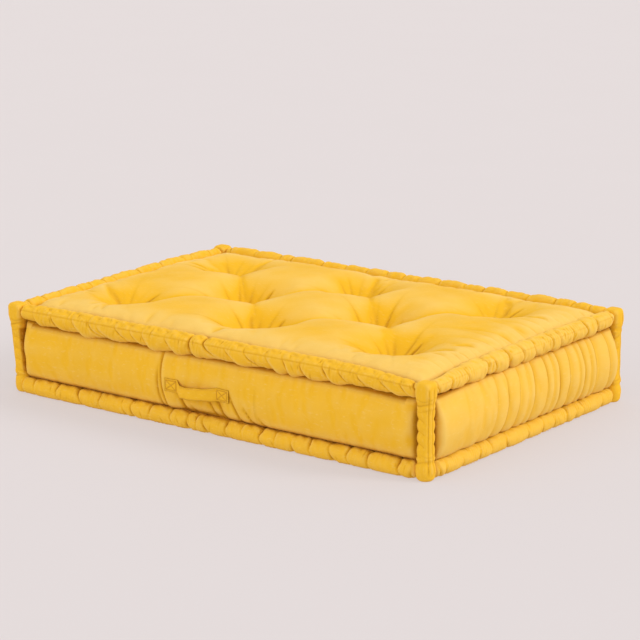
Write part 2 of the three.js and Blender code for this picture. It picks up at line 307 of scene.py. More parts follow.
# Creases on the sides: place along the side, depth, and how far it leans from base to top.
END_PLEATS = [
    (-352, 0.1, 4), (-262, 0.3, 6), (-201, 0.8, 8), (-148, 1.7, 10), (-108, 3.4, 10),
    (-56, 2.6, 9), (-24, 1.3, 9), (0, 4.4, 8), (50, 2.8, 6), (80, 1.4, 5), (103, 4.6, 4),
    (153, 2.8, 2), (184, 1.2, 0), (208, 4.4, -1), (240, 1.6, -3), (265, 3.4, -4), (322, 3.0, -8),
    (352, 1, -8)]
FRONT_PLEATS = [
    (-530, 1.5, -4), (-494, 1, 0), (-452, 1.6, 3), (-416, 1.2, 0), (-383, 2.6, -6), (-343, 1.2, 2),
    (-305, 1.6, 0), (-262, 1.2, 4), (-221, 1.8, 0), (-180, 1.4, -3), (-92, 1.6, 2), (-52, 1.2, 0),
    (-20, 1.6, 4), (62, 1.4, 0), (101, 1.2, 3), (138, 1.7, 0), (180, 1.2, -4), (219, 1.6, 0),
    (256, 1.3, 3), (298, 1.7, 0), (335, 1.2, 2), (377, 1.8, 0), (413, 1.3, -3), (455, 1.6, 4),
    (496, 1.3, 0), (533, 1.8, -2)]
SEAM_X, SEAM_LEAN, SEAM_STEP = -124, 5, 3.2  # the lapped seam of the front
# Creases that the handle pulls into the front: top and foot as (x, share of height), depth.
HANDLE_CREASES = [((-82, 0.42), (-66, 0.02), 5), ((-2, 0.42), (18, 0.02), 5),
                  ((24, 0.46), (42, 0.02), 6), ((66, 0.5), (96, 0.03), 5),
                  ((-50, 0.2), (-40, 0.02), 3), ((104, 0.36), (134, 0.03), 4.4),
                  ((142, 0.26), (168, 0.04), 3)]


def cut_box(name, counts):
    """A cube from -1 to 1 cut into a grid, with the cuts along each axis."""
    piece = new_piece(name, bpy.ops.mesh.primitive_cube_add, size=2)
    for axis, cuts in enumerate(counts):
        cut_along(piece, axis, cuts)
    return piece


def tuft_places():
    return [(column * TUFT_X + TUFT_SHIFT, row * TUFT_Y + TUFT_SHIFT) for column, row in TUFTS]


def border(inside):
    return 1 - (1 - np.clip(inside / CROWN_REACH, 0, 1)) ** CROWN_FULLNESS


def to_segment(x, y, start, end):
    """Distance of points from a segment, and how far along it they lie, 0 to 1."""
    dx, dy = end[0] - start[0], end[1] - start[1]
    length = math.hypot(dx, dy)
    share = ((x - start[0]) * dx + (y - start[1]) * dy) / length**2
    share = np.clip(share, 0, 1)
    away = np.hypot(x - start[0] - share * dx, y - start[1] - share * dy)
    return away, share


def diagonal_pairs():
    """Neighbouring tufts as start, end and whether the fold between them is a strong one."""
    pairs = []
    for c0, r0 in TUFTS:
        for step in (1, -1):
            if (c0 + step, r0 + 1) in TUFTS:
                end = ((c0 + step) * TUFT_X, (r0 + 1) * TUFT_Y)
                pairs.append(((c0 * TUFT_X, r0 * TUFT_Y), end, step > 0))
    return pairs


def tuft_hollow(x, y):
    depth = np.zeros_like(x)
    for (cx, cy), pull in zip(tuft_places(), TUFT_PULLS):
        r = np.hypot(x - cx, y - cy)
        depth += pull * TUFT_PIT * np.exp(-((r / TUFT_PIT_R) ** TUFT_PIT_FALL))
        r = np.hypot(x - cx - BOWL_SHIFT[0], y - cy - BOWL_SHIFT[1])
        depth += pull * TUFT_BOWL * np.exp(-((r / TUFT_BOWL_R) ** 2.4))
    for start, end, strong in diagonal_pairs():
        away, share = to_segment(x, y, start, end)
        deep = (0.7 + 0.3 * (2 * share - 1) ** 2) * (1 if strong else 0.45)
        depth += VALLEY * deep * np.exp(-((away / VALLEY_WIDTH) ** 1.2))
    return depth


def top_height(x, y):
    rise = border(BLOCK_X - np.abs(x)) * border(BLOCK_Y - np.abs(y))
    dome = (1 - (x / BLOCK_X) ** 2) * (1 - (y / BLOCK_Y) ** 2)
    crown = (CROWN_RISE - CROWN_BACK_DROP * smooth((y - 180) / 120)
             - CROWN_LEFT_DROP * smooth((-x - 380) / 120))
    return (roll_height(x, y) - EDGE_INSET + rise * crown + dome * CROWN_MIDDLE
            - rise * tuft_hollow(x, y))


def side_height(level):
    """Share of the height for a level from -1 to 1, with more rows near the rolls."""
    t = (level + 1) / 2
    return t - 0.095 * np.sin(math.tau * t)


def sides_of(plan):
    """Which points lie on the top, the base, the upright ends and the upright long sides."""
    t = side_height(plan[:, 2])
    top, base = t > AT_FACE, t < 1 - AT_FACE
    ends, longs = (~top & ~base & (np.abs(plan[:, axis]) > AT_FACE) for axis in (0, 1))
    return top, base, ends, longs


def block_points(plan):
    """The cushion's shape for points of the cut box."""
    x, y, t = plan[:, 0] * BLOCK_X, plan[:, 1] * BLOCK_Y, side_height(plan[:, 2])
    top, base, ends, longs = sides_of(plan)
    edge = roll_height(x, y) - EDGE_INSET
    z = BLOCK_LOW + t * (edge - BLOCK_LOW)
    upright = np.maximum(0, np.sin(np.pi * t)) ** SIDE_FULLNESS
    out_x = END_BULGE * upright * smooth((BLOCK_Y - np.abs(y)) / END_ROUND)
    out_y = FRONT_BULGE * upright * smooth((BLOCK_X - np.abs(x)) / FRONT_ROUND)
    points = np.column_stack([x + np.sign(x) * out_x * ends, y + np.sign(y) * out_y * longs, z])
    points[top, 2] = top_height(x[top], y[top])
    inside = np.minimum(BLOCK_X - np.abs(x), BLOCK_Y - np.abs(y))
    points[base, 2] = (BLOCK_LOW * (1 - smooth(inside / BASE_ROUND)))[base]
    return points


def roll_lines():
    """Ends of all the rolls' centre lines. Those that sag at the right front are in pieces."""
    corners = [(-ROLL_X, -ROLL_Y), (ROLL_X, -ROLL_Y), (ROLL_X, ROLL_Y), (-ROLL_X, ROLL_Y)]
    lines = []
    for (x0, y0), (x1, y1) in zip(corners, corners[1:] + corners[:1]):
        lines.append(((x0, y0, ROLL_LOW), (x1, y1, ROLL_LOW)))
        length = math.hypot(x1 - x0, y1 - y0)
        steps = [60 / length, 120 / length, DROP_REACH / length]
        if (x0, y0) == (ROLL_X, -ROLL_Y):
            shares = [0, *steps, 1]
        elif (x1, y1) == (ROLL_X, -ROLL_Y):
            shares = [0, *[1 - step for step in steps[::-1]], 1]
        else:
            shares = [0, 1]
        bends = [(x0 + (x1 - x0) * share, y0 + (y1 - y0) * share) for share in shares]
        bends = [(x, y, roll_height(x, y)) for x, y in bends]
        lines += zip(bends, bends[1:])
        lines.append(((x0, y0, ROLL_LOW), (x0, y0, roll_height(x0, y0))))
    return [np.array(line, float) for line in lines]


def from_lines(points, line):
    """Vectors to points from the nearest place on a line, within its length."""
    start, end = line
    direction = end - start
    share = np.clip(((points - start) @ direction) / (direction @ direction), 0, 1)
    return points - (start + share[:, None] * direction)


def nearest_roll(points):
    """Distance of points from the nearest roll's centre line."""
    return np.min([np.linalg.norm(from_lines(points, line), axis=1) for line in roll_lines()],
                  axis=0)


def clear_of_rolls(points, radius):
    """Points pushed out to the surface of the rolls' seats."""
    for line in roll_lines():
        away = from_lines(points, line)
        distance = np.linalg.norm(away, axis=1)
        short = distance < radius
        scale = radius / np.maximum(distance, 1e-6)
        points = np.where(short[:, None], points + away * (scale - 1)[:, None], points)
    return points


def swell(piece, held):
    """Lets the filling press the cloth out, with the held points fixed."""
    mesh = piece.data
    before = read_points(mesh)
    group = piece.vertex_groups.new(name="held")
    group.add([int(i) for i in np.flatnonzero(held)], 1.0, "REPLACE")
    cloth = piece.modifiers.new("cloth", "CLOTH")
    for name, value in CLOTH_FEEL.items():
        setattr(cloth.settings, name, value)
    cloth.settings.effector_weights.gravity = 0
    cloth.settings.vertex_group_mass = "held"
    cloth.collision_settings.use_collision = False
    cloth.point_cache.frame_start, cloth.point_cache.frame_end = 1, SWELL_FRAMES
    scene = bpy.context.scene
    for number in range(1, SWELL_FRAMES + 1):
        scene.frame_set(number)
    shaped = piece.evaluated_get(bpy.context.evaluated_depsgraph_get())
    after = read_points(shaped.data)
    piece.modifiers.remove(cloth)
    piece.vertex_groups.remove(group)
    scene.frame_set(1)
    moved = after - before
    distance = np.linalg.norm(moved, axis=1)
    limit = SWELL_LIMIT * MM
    keep = limit * np.tanh(distance / limit) / np.maximum(distance, 1e-9)
    write_points(mesh, before + moved * keep[:, None])


def spaced(seed, low, high, step, spread):
    """Uneven places along an edge, the same in every run."""
    chance = np.random.default_rng(seed)
    places = [low]
    while places[-1] < high:
        places.append(places[-1] + step * (1 + spread * chance.uniform(-1, 1)))
    return places


def ripples(points, seed, waves, length, size):
    """Soft unevenness from a few waves that run in all directions."""
    chance = np.random.default_rng(seed)
    total = np.zeros(len(points))
    for _ in range(waves):
        direction = chance.normal(size=3)
        direction *= 2 * math.pi / (np.linalg.norm(direction) * length * chance.uniform(0.6, 1.6))
        total += np.sin(points @ direction + chance.uniform(0, 6.3))
    return size * total / math.sqrt(waves)


def border_gathers(along, inward, half, seed, pitch, reach, deep):
    """Depth of the creases that run in from a roll, steep on one side and soft on the other."""
    chance = np.random.default_rng(seed)
    depth = np.zeros_like(along)
    for place in spaced(seed, -half + 40, half - 40, pitch, 0.35):
        own_reach, lean = reach * chance.uniform(0.4, 1.5), chance.uniform(-0.16, 0.16)
        own_deep, bow = deep * chance.uniform(0.4, 1.2), chance.uniform(-14, 14)
        off = along - place - lean * inward - bow * (inward / 100) ** 2
        grown = 1 + inward / 60
        valley = fold_shape(off, 4 * grown, 11 * grown)
        depth += own_deep * valley * bell(inward, own_reach) * smooth(inward / 14)
    return depth


def tuft_folds(x, y):
    """Depth of the folds that fan out from each tuft and of the creases between tufts, with
    their painted shade, negative for the painted highlights beside the folds."""
    chance = np.random.default_rng(11)
    depth, dark, bright = np.zeros_like(x), np.zeros_like(x), np.zeros_like(x)
    for (cx, cy), pull in zip(tuft_places(), TUFT_PULLS):
        r, turn = np.hypot(x - cx, y - cy), np.arctan2(y - cy, x - cx)
        for place in FAN + chance.uniform(-0.08, 0.08, len(FAN)):
            ahead = np.cos(turn - place)
            off = np.sin(turn - place) * r
            reach, deep = chance.uniform(55, 120), pull**2 * chance.uniform(4, 9)
            grown = 1 + r / 60
            valley = fold_shape(off, 3 * grown, 7 * grown)
            along = smooth((r - 8) / 14) * bell(r, reach) * (ahead > 0)
            depth += deep * valley * along
            # Painted shade in the line of each fold and a painted highlight beside it.
            dark = np.maximum(dark, 0.1 * deep * along * bell(off, 3))
            bright = np.maximum(bright, 0.1 * deep * along * bell(off + 10, 5))
        for start_x, start_y, end_x, end_y, full in TUFT_CREASES:
            start = (cx + start_x, cy + start_y)
            end = (cx + end_x + chance.uniform(-12, 12), cy + end_y * chance.uniform(0.75, 1.1))
            away, share = to_segment(x, y, start, end)
            own = full * pull * np.sin(np.pi * np.clip(0.2 + 0.8 * share, 0, 1))
            own *= chance.uniform(0.55, 1.2)
            depth += 7 * own * np.exp(-away / 5)
            # Painted shade along the creases beyond each tuft.
            dark = np.maximum(dark, np.minimum(own, 1) * bell(away, 3.4))
    for start, end, strong in diagonal_pairs():
        away, share = to_segment(x, y, start, end)
        near = bell(share, 0.3) if strong else 0.25 * bell(share, 0.2)
        depth += (0.3 + 6 * near) * np.exp(-away / 3.8)
        # Painted shade in the folds between neighbouring tufts.
        dark = np.maximum(dark, near * bell(away, 3))
    # Painted shade at the bottom of each tuft.
    for cx, cy in tuft_places():
        dark = np.maximum(dark, 0.7 * bell(np.hypot(x - cx, y - cy), 7))
    return depth, dark - bright * (1 - dark)


def side_pleats(along, t, table, lobe, seed):
    """Depth of upright pleats, sharp valleys with round lobes between them, and their painted
    shade, negative for the painted highlights on the edges beside the valleys."""
    chance = np.random.default_rng(seed)
    depth, dark, bright = np.zeros_like(along), np.zeros_like(along), np.zeros_like(along)
    places = [place for place, _, _ in table]
    lean = np.interp(along, places, [slant for _, _, slant in table])
    moved = along - lean * (t - 0.5) * 2
    for place, deep, _ in table:
        off = moved - place - chance.uniform(-9, 7) * np.sin(np.pi * t)
        own = 1.2 * deep * (0.4 + 0.6 * bell(t - chance.uniform(0, 1), chance.uniform(0.4, 0.8)))
        depth += own * fold_shape(off, 4, 12)
        # Painted shade in each valley and a painted highlight on the edge beside it.
        dark = np.maximum(dark, 0.65 * np.minimum(1, own / 3.4) ** 1.5 * bell(off, 2.6))
        bright = np.maximum(bright, 0.8 * np.minimum(1, own / 3) * bell(off + 8, 4))
    share = np.interp(moved, places, np.arange(len(places))) % 1
    return depth - lobe * np.sin(np.pi * share), dark - bright * (1 - dark)


def turned(table, shift):
    """Pleats for the far side, in the other order and a little moved."""
    return [(-place + shift, deep, slant) for place, deep, slant in table[::-1]]


def seam_lap(x, t):
    """Depth at the lapped seam of the front, negative where the lap stands out, and its
    painted shade.
    """
    off = x - SEAM_X - 12 * (1 - t) ** 2 + SEAM_LEAN * np.sin(np.pi * t)
    lap = np.where(off > 0, np.exp(-off / 28), 0) * smooth((off + 1) / 4)
    second = 3.6 * np.exp(-np.abs(off + 17 - 8 * t) / 3.6) * smooth((0.8 - t) / 0.3)
    # Painted shade under the lap and in the second crease.
    dark = np.maximum(bell(off + 2, 2.6), 0.25 * second * smooth(second / 2.5))
    return 6 * np.exp(-np.abs(off + 2) / 4.2) - SEAM_STEP * lap + second, dark


def handle_pull(x, t):
    """Depth of the place under the handle, where the panel is drawn in."""
    across = smooth((x + 96) / 30) * smooth((66 - x) / 30)
    return 5 * across * smooth((0.5 - t) / 0.2) * smooth(t / 0.12)


def crease_between(x, t, top, foot, deep):
    """Depth of one straight crease that softens at its ends, and its painted shade."""
    ends = [(place, share * ROLL_RISE) for place, share in (top, foot)]
    away, share = to_segment(x, t * ROLL_RISE, *ends)
    full = 0.35 + 0.65 * np.sin(np.pi * np.clip(share, 0.02, 0.98))
    return 1.4 * deep * np.exp(-away / 6) * full, min(1, deep / 5) * full * bell(away, 2.8)


def top_creases(x, y):
    """Depth of the top's folds at the tufts, with their painted shade, and of the gathers along
    its four borders.
    """
    depth, dark = tuft_folds(x, y)
    borders = [(x, BLOCK_Y + y, BLOCK_X), (x, BLOCK_Y - y, BLOCK_X),
               (y, BLOCK_X - x, BLOCK_Y), (y, BLOCK_X + x, BLOCK_Y)]
    for place, gathers in zip(borders, BORDER_GATHERS):
        depth += border_gathers(*place, *gathers)
    return depth, dark


def front_creases(x, t, low):
    """Depth and painted shade of the front's pleats and seam and of what the handle pulls in."""
    pleats, lines = side_pleats(x, t, FRONT_PLEATS, 0.3, 33)
    seam, seam_dark = seam_lap(x, t)
    calm = 0.2 + 0.8 * bell(x + 20, 150)
    depth = 0.55 * pleats * calm * low + seam + handle_pull(x, t)
    near_handle = bell(x - 125, 45) * smooth((0.75 - t) / 0.3)
    # Painted shade of the pleats only near the handle, and in the seam and handle creases.
    dark = np.maximum(lines * near_handle, seam_dark)
    for crest, foot, deep in HANDLE_CREASES:
        crease, line = crease_between(x, t, crest, foot, deep)
        depth += crease
        dark = np.maximum(dark, line)
    return depth, dark


def sculpt_block(piece):
    """Presses the creases, pleats and seam into the finished cushion."""
    mesh = piece.data
    plan = kept_plan(mesh)
    points, outward = read_points(mesh) / MM, normals_of(mesh)
    x, y, t = plan[:, 0] * BLOCK_X, plan[:, 1] * BLOCK_Y, side_height(plan[:, 2])
    top, base, ends, longs = sides_of(plan)
    right, left, front, back = ends & (x > 0), ends & (x < 0), longs & (y < 0), longs & (y > 0)
    low = 1 + 0.9 * smooth((0.4 - t) / 0.4) + 0.5 * smooth((t - 0.75) / 0.2)
    depth, dark = np.zeros(len(points)), np.zeros(len(points))
    depth[top], dark[top] = top_creases(x[top], y[top])
    depth[right], dark[right] = side_pleats(y[right], t[right], END_PLEATS, 3.0, 31)
    depth[left], dark[left] = side_pleats(y[left], t[left], turned(END_PLEATS, 12), 2.2, 32)
    depth[front], dark[front] = front_creases(x[front], t[front], low[front])
    pleats, _ = side_pleats(x[back], t[back], turned(FRONT_PLEATS, 15), 0.3, 34)
    depth[back] = 0.55 * pleats * low[back]
    depth *= np.where(top | base, 1, smooth(t / 0.1) * smooth((1 - t) / 0.08))
    depth += ripples(points, 5, 14, 70, 0.5) * ~base
    tuck = np.exp(-np.maximum(nearest_roll(points) - ROLL_R - 1, 0) / 5)
    from_corner = np.hypot(np.abs(points[:, 0]) - ROLL_X, np.abs(points[:, 1]) - ROLL_Y)
    tuck *= 1 - 0.6 * smooth((ROLL_R + 9 - from_corner) / 8) * ends
    depth += tuck * np.where(longs, 7, np.where(ends, 5, 2.5 * top))
    points = clear_of_rolls(points - outward * depth[:, None], ROLL_R - 0.4)
    points[:, 2] = np.maximum(points[:, 2], 0)
    write_points(mesh, points * MM)
    # Painted shade beside the rolls where the cloth tucks under them: wider under the front's top
    # roll, half as strong on the top, none on the base.
    under = np.where(front & (t > 0.5) & (np.abs(x) < BLOCK_X - 45), 8, 1)
    beside = bell(np.maximum(nearest_roll(points) - ROLL_R - under, 0), 4)
    beside *= np.where(top, 0.5, np.where(base, 0, 1))
    write_values(mesh, "crease", np.maximum(dark, beside))


def thin_base(piece):
    """Fewer faces where the cushion rests on the floor."""
    mesh = piece.data
    activate(piece)
    bpy.context.tool_settings.mesh_select_mode = (False, False, True)
    plan = kept_plan(mesh)
    inside = np.minimum(1 - np.abs(plan[:, 0]), (1 - np.abs(plan[:, 1])) * BLOCK_Y / BLOCK_X)
    chosen = sides_of(plan)[1] & (inside > 0.06)
    whole = np.logical_and.reduceat(chosen[corner_points(mesh)], face_starts(mesh))
    choose(mesh, points=chosen, faces=whole)
    in_edit_mode(bpy.ops.mesh.decimate, ratio=0.06)


def block_uv(mesh):
    plan, sizes = kept_plan(mesh)[corner_points(mesh)], face_sizes(mesh)
    middle = np.abs(np.add.reduceat(plan, face_starts(mesh), axis=0) / sizes[:, None])
    axis = np.repeat(middle.argmax(axis=1), sizes)
    flat = plan * [BLOCK_X, BLOCK_Y, ROLL_RISE / 2] * MM
    first = np.where(axis == 0, flat[:, 1], flat[:, 0])
    second = np.where(axis == 2, flat[:, 1], flat[:, 2])
    write_uv(mesh, np.column_stack([first, second]))


def make_block():
    piece = cut_box("filled_cover", (COLUMNS, LINES, ROWS))
    mesh = piece.data
    plan = read_points(mesh)
    keep_plan(mesh, plan)
    points = block_points(plan)
    write_points(mesh, points * MM)
    held = (nearest_roll(points) < ROLL_R + 2) | (plan[:, 2] < -0.99)
    for cx, cy in tuft_places():
        held |= (np.hypot(points[:, 0] - cx, points[:, 1] - cy) < 9) & (plan[:, 2] > 0.99)
    swell(piece, held)
    finish = piece.modifiers.new("finer", "SUBSURF")
    finish.levels = finish.render_levels = 1
    apply_modifiers(piece)
    sculpt_block(piece)
    thin_base(piece)
    smooth_shaded(piece)
    # The cavity drives painted shade in narrow creases and painted highlights on narrow crests.
    write_values(mesh, "cavity", cavity_of(mesh, 8))
    plan = kept_plan(mesh)
    # hollow drives painted shade in broad hollows and painted highlights on broad crests: full on
    # the top, weak on the ends and none on the front and back.
    weight = np.where(plan[:, 2] > 0.99, 1, np.where(np.abs(plan[:, 0]) > 0.99, 0.12, 0))
    write_values(mesh, "hollow", cavity_of(mesh, 140) * weight)
    block_uv(mesh)
    return piece


# ---- Rolls ----
ROLL_AROUND = 48
ROLL_TURN_LENGTH = math.tau * ROLL_R * MM
ROLL_END = 562  # where the long rolls end, inside the corner lumps
ROLL_END_Y = 362
STITCH_PITCH = 11
TOP_STITCHES, LOW_STITCHES = math.radians(22.5), math.radians(-52)  # turns from outwards
END_TAPER, NEAR_TAPER = 0.1, 0.17  # how much thinner a top roll is at its ends
LONG_CUTS, SHORT_CUTS, UPRIGHT_CUTS = (25, 26), (20, 22), (10, 12)

# Pinches along each roll: place from its middle and depth.
PINCHES = {
    "top_roll_front": [
        (-520, 2), (-459, 3), (-398, 3.4), (-344, 3), (-321, 1.6), (-266, 2), (-220, 3),
        (-185, 2.6), (-116, 3), (-52, 5), (-7, 5), (53, 3), (108, 3.2), (168, 3), (214, 2.6),
        (262, 3), (320, 3.4), (364, 2.6), (411, 3), (467, 3.4), (520, 3), (552, 5)],
    "bottom_roll_front": [
        (-522, 2.4), (-450, 3), (-383, 5.5), (-318, 3), (-246, 2.4), (-221, 5), (-168, 3.4),
        (-104, 3), (-58, 5.5), (-32, 4), (-10, 4.8), (52, 4.6), (98, 2), (148, 5.2), (190, 2),
        (238, 4.2), (286, 4), (339, 4.6), (386, 3.4), (437, 4.6), (518, 5.5), (552, 3)],
    "top_roll_right": [
        (-352, 3), (-303, 3), (-248, 3), (-170, 5), (-143, 3), (-87, 5), (-34, 2), (14, 3),
        (87, 3.2), (119, 2.6), (178, 3), (233, 3), (282, 5), (345, 3)],
    "bottom_roll_right": [
        (-352, 4), (-330, 3), (-266, 2.4), (-200, 3.2), (-157, 3), (-96, 3.2), (-11, 3), (53, 3.4),
        (100, 3), (154, 3), (190, 3.2), (220, 2.8), (306, 3.4)],
    "top_roll_back": [
        (-549, 4), (-460, 2.4), (-388, 3.2), (-344, 3), (-253, 3), (-180, 2.2), (-114, 3),
        (-59, 3), (-7, 3.2), (44, 2.2), (98, 3), (175, 3), (227, 3), (288, 3.2), (355, 3),
        (426, 3), (481, 3.2), (519, 3)],
    "bottom_roll_back": [
        (-530, 4), (-466, 3), (-402, 3.2), (-335, 3), (-270, 3), (-204, 3.4), (-140, 2.6),
        (-72, 3.2), (-12, 3), (54, 3.2), (118, 3), (176, 3), (246, 3.4), (310, 3), (372, 3),
        (440, 3.2), (500, 3), (546, 5)],
    "top_roll_left": [
        (-348, 3.4), (-300, 3), (-240, 2.2), (-179, 3), (-140, 3), (-86, 3.2), (-52, 2.6), (41, 3),
        (129, 3.2), (206, 3), (248, 3), (314, 3.2)],
    "bottom_roll_left": [
        (-350, 4), (-296, 3), (-232, 3), (-170, 3.2), (-108, 3), (-44, 3.2), (22, 3), (80, 3),
        (148, 3.4), (212, 3), (270, 3), (334, 3.4)],
}
# How each roll is drawn in: slant of its creases below the stitches in millimetres a radian,
# share of fine gathers, how far its lumps hang, and the turn where it is drawn in most.
ROLL_WAYS = {
    "top_roll_front": (16, 0.3, 9.0, -0.8), "bottom_roll_front": (4, 0.15, 1.6, 0),
    "top_roll_right": (3, 1.0, 2.6, 0.3), "bottom_roll_right": (4, 0.6, 2.2, 0),
    "top_roll_back": (12, 0.3, 2.6, 1.2), "bottom_roll_back": (5, 0.2, 2.2, 0),
    "top_roll_left": (8, 0.6, 2.6, 1.2), "bottom_roll_left": (5, 0.5, 2.2, 0),
}
# Outline of an upright roll: height over its low centre line or under its top, and radius.
FOOT = [(-18, 0), (-18, 15), (-13, 19.5), (0, 21.8), (10, 21.4), (17, 19.5), (23, 17), (29, 19.4),
        (35, 18.6), (43, 16.6)]
NECK = [(-46, 16.6), (-39, 17.2), (-34, 18.8), (-28, 17), (-22, 19.6), (-12, 20.8)]
HEAD_TOP = [(0, 20.8), (11, 20.6), (15.5, 19.2), (18.5, 15.5), (19.5, 8), (19.5, 0)]
SCALLOP_PITCH, SCALLOP = 27, 3.6
FOOT_LEAN = np.array([9, 6])  # how far the foot of the left front corner stands inwards
RIDGE_TURN = math.radians(17)  # of the sewn ridge, from the corner's diagonal


def cut_tube(name, cuts):
    """A tube of radius 1 from z = -1 to 1, cut across its length."""
    piece = new_piece(name, bpy.ops.mesh.primitive_cylinder_add, vertices=ROLL_AROUND, radius=1,
                      depth=2, end_fill_type="TRIFAN")
    cut_along(piece, 2, cuts)
    return piece


def stitch_turn(name):
    """Where the stitches run round a roll, from straight outwards."""
    return TOP_STITCHES if name.startswith("top") else LOW_STITCHES


def roll_pinches(name, chance, s, turn, bent):
    """Depth of the pinches that draw a roll in, with their painted shade and painted highlights.
    """
    slant, _, _, crest = ROLL_WAYS[name]
    low = name.startswith("bottom")
    depth, dark, bright = np.zeros_like(s), np.zeros_like(s), np.zeros_like(s)
    for place, deep in PINCHES[name]:
        strong = deep > 4.4
        off = bent - place - chance.uniform(-3, 3) * turn
        middle = chance.choice([-0.9, 0.9]) if low else crest + chance.uniform(-0.3, 0.3)
        spread = chance.uniform(0.6, 1.0) * (1.6 if crest > 0 else 1)
        least = (0.35 if low else 1) if strong else 0.12
        reach = least + (1 - least) * bell(turn - middle, spread)
        width = 5 if strong else chance.uniform(2.4, 3.6)
        depth += 1.5 * deep * reach * np.exp(-((np.abs(off) / width) ** 1.2))
        full = min(1, deep / 3.2) * (1 if strong else chance.uniform(0.35, 1))
        # Painted shade in each pinch and a painted highlight beside it.
        dark = np.maximum(dark, full * reach * bell(off, 2.4 if strong else 1.8))
        bright = np.maximum(bright, (0.1 if slant > 13 else 0.25) * reach * bell(off - 5, 3.5))
    return depth, dark, bright


def fine_creases(chance, seed, s, turn):
    """Depth of the short creases that cross a roll, and their painted shade."""
    depth, dark = np.zeros_like(s), np.zeros_like(s)
    for place in spaced(seed + 7, s.min(), s.max(), 21, 0.7):
        middle, spread = chance.uniform(-1.3, 1.5), chance.uniform(0.2, 0.5)
        deep, lean = chance.uniform(0.2, 1.8), chance.uniform(-10, 6)
        off, here = s - place - lean * (turn - middle), bell(turn - middle, spread)
        depth += deep * here * np.exp(-np.abs(off) / 2.2)
        # Painted shade in each short crease.
        dark = np.maximum(dark, 0.4 * deep * here * bell(off, 1.3))
    return depth, dark


def roll_lumps(name, chance, turn, bent):
    """How far the stuffing stands out between the pinches."""
    slant, gathered, hang, crest = ROLL_WAYS[name]
    numbers = np.arange(len(PINCHES[name]))
    share = np.interp(bent, [place for place, _ in PINCHES[name]], numbers)
    plump = np.interp(np.floor(share), numbers, chance.uniform(0.35, 1.5, len(numbers)))
    u = share % 1
    scale = np.minimum(u / 0.2, 1) ** 0.7 * (1 - 0.9 * u) ** 0.8
    belly = scale if slant > 13 else np.sin(np.pi * u) ** 0.6
    if name.startswith("bottom"):
        flank = bell(turn + 0.1, 1.0)
    elif crest > 1:
        flank = bell(turn - 1.6, 1.0)
    else:
        flank = bell(turn + 1.2, 0.8) + 0.6 * gathered
    return plump * belly * (0.6 + hang * flank) - 1.2


def fine_gathers(gathered, seed, s, turn):
    """Depth of the clusters of fine folds, and their painted shade."""
    cluster = smooth(0.4 + 1.3 * np.sin(s / 27 + seed) * np.sin(s / 47 + 2 * seed))
    fold = 1 - np.abs(np.sin(np.pi * (s + 4 * np.sin(s / 17) - 3 * turn) / 7.8))
    cluster *= gathered * smooth((turn + 1.4) / 0.5) * smooth((1.5 - turn) / 0.4)
    cluster *= 0.6 + 0.4 * np.sin(s / 5.3 + 3 * turn)
    # The second value is painted shade in the fine folds.
    return 2.5 * cluster * fold**1.5, 0.75 * cluster * fold**3


def crumpled(seed, s, turn):
    """Fine unevenness of a roll's cloth, from waves that cross."""
    first = np.sin(s / 4.7 + 2.6 * turn + 1.7 * np.sin(s / 13 + seed))
    second = np.sin(s / 7.3 - 3.1 * turn + seed + 1.3 * np.sin(s / 19))
    return first * np.sin(s / 9.1 - 1.9 * turn) + 0.7 * second * np.sin(s / 31 + turn)


def roll_taper(name, s):
    """Share of its thickness that a roll keeps along its length."""
    if name.startswith("bottom"):
        return 1
    half = roll_frame(name)[2]
    to_near = {"top_roll_front": s, "top_roll_right": -s}.get(name, s - 2 * half)
    return ((1 - END_TAPER * smooth((np.abs(s) - half + 110) / 100))
            * (1 - NEAR_TAPER * smooth((to_near - half + 190) / 150)))


def roll_shape(name, s, turn):
    """Radius of a lying roll at a place along it and a turn from straight outwards, with its
    painted shade: 1 in the creases, and negative for the painted highlights on the edges."""
    slant, gathered, _, _ = ROLL_WAYS[name]
    low, seed = name.startswith("bottom"), list(PINCHES).index(name)
    chance = np.random.default_rng(seed)
    below = np.maximum(TOP_STITCHES - turn, 0)
    own_slant = slant * (1 + 0.45 * np.sin(s / 61 + seed) + 0.2 * np.sin(s / 23))
    bent = s - own_slant * (0.5 * below + 0.4 * below**2) + 1.5 * np.sin(turn * 3 + s / 19)
    pinch, dark, bright = roll_pinches(name, chance, s, turn, bent)
    crease, crease_dark = fine_creases(chance, seed, s, turn)
    lumps = roll_lumps(name, chance, turn, bent)
    gather, gather_dark = fine_gathers(gathered, seed, s, turn)
    wrinkle = np.sin(s / 6 + 2.2 * np.sin(s / 23 + seed) + 3 * turn) * bell(turn - 1.3, 0.4)
    groove = bell(turn - stitch_turn(name), 0.07) * (1 - 0.7 * gathered)
    touching = bell(turn - 1.5, 0.25) if low else bell(turn + 1.6, 0.2)
    radius = ROLL_R + 0.4 - pinch - crease + lumps - gather + 0.9 * wrinkle
    radius += (0.35 if low else 0.5 + 0.45 * gathered) * crumpled(seed, s, turn)
    radius -= groove * (1.0 + 0.4 * np.cos(math.tau * s / STITCH_PITCH))
    radius -= 0 if low else 2.0 * bell(turn - 1.15, 0.5)
    # Painted shade in the pinches, creases, gathers, wrinkle troughs and stitch groove, and where
    # the roll touches the panel or the crown.
    dark = np.max([dark, crease_dark, gather_dark, 0.3 * np.maximum(-wrinkle, 0) ** 2,
                   0.3 * groove, 0.9 * touching], axis=0)
    # Painted light: the right rolls, on the side lit by the key light, get weaker painted shade
    # and a painted highlight all over.
    if name.endswith("right"):
        dark, bright = 0.65 * dark, np.maximum(bright, 0.15 if low else 0.3)
    return radius * roll_taper(name, s), dark - bright * (1 - dark)


